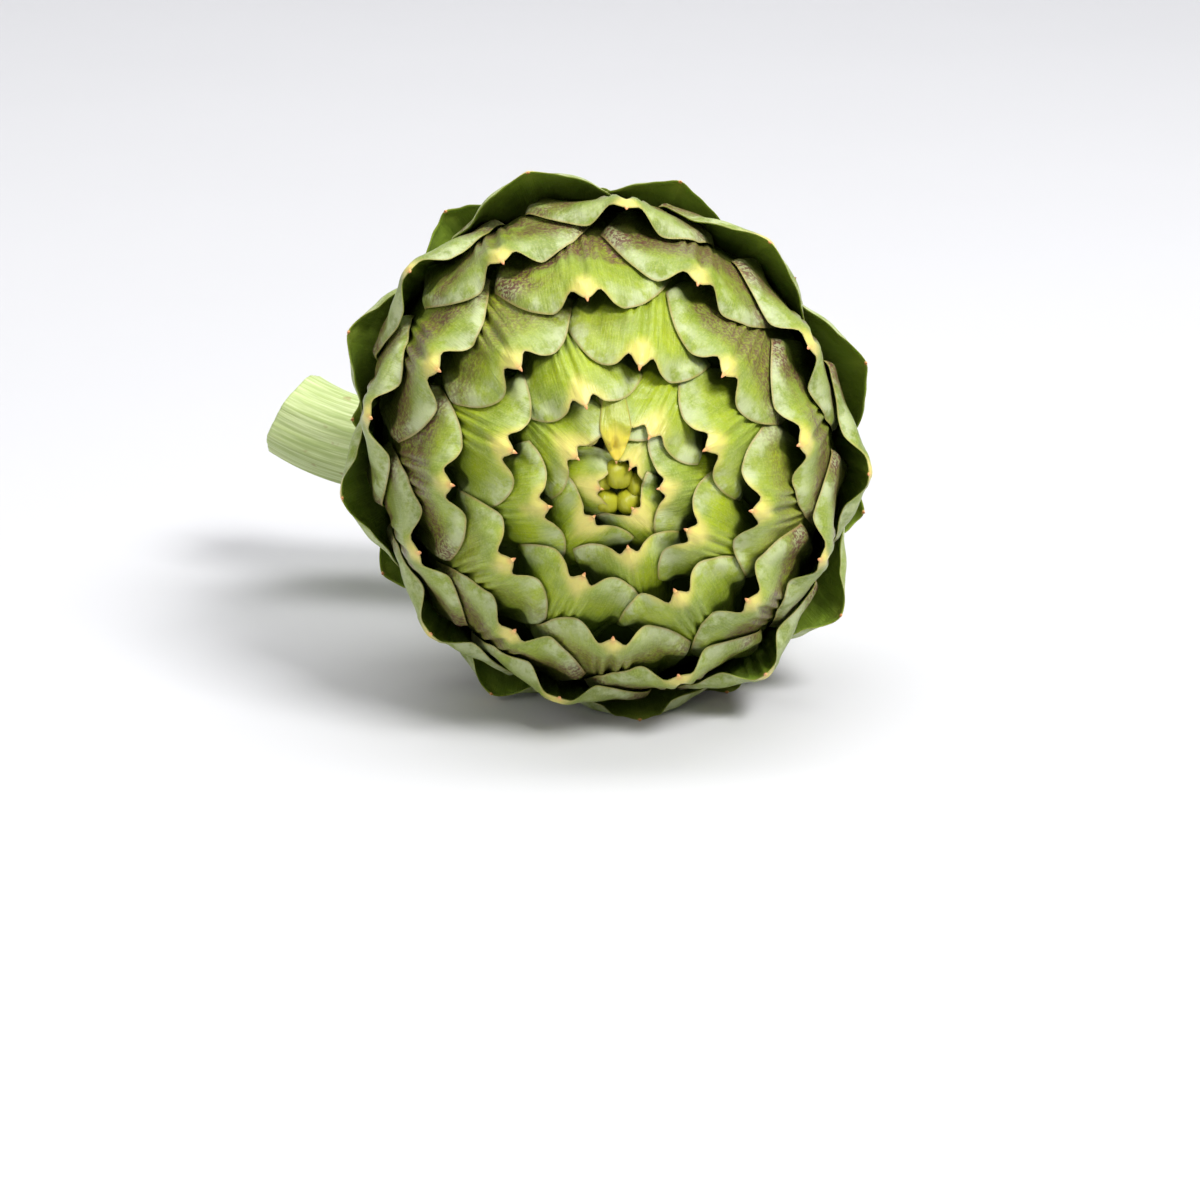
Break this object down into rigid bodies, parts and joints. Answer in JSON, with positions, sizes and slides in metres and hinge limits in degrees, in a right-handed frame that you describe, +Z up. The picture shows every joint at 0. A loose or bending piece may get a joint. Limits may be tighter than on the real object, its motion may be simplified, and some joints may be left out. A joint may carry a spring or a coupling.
{
  "type": "artichoke",
  "caption": "Whole globe artichoke lying on its side, with overlapping notched bracts in a spiral and a short curved cut stem.",
  "frame": {"origin": "under the middle of the whole, at the height of the surface it rests on", "axes": "+Z up from the resting surface; the tip of the head points towards -Y and the stem leaves towards +Y"},
  "size_m": [0.1332, 0.1404, 0.1114],
  "materials": {
    "head": "waxy matte green",
    "stem": "pale ribbed green"
  },
  "bodies": {
    "root": {"head": "head", "stem": "stem"}
  },
  "joints": []
}
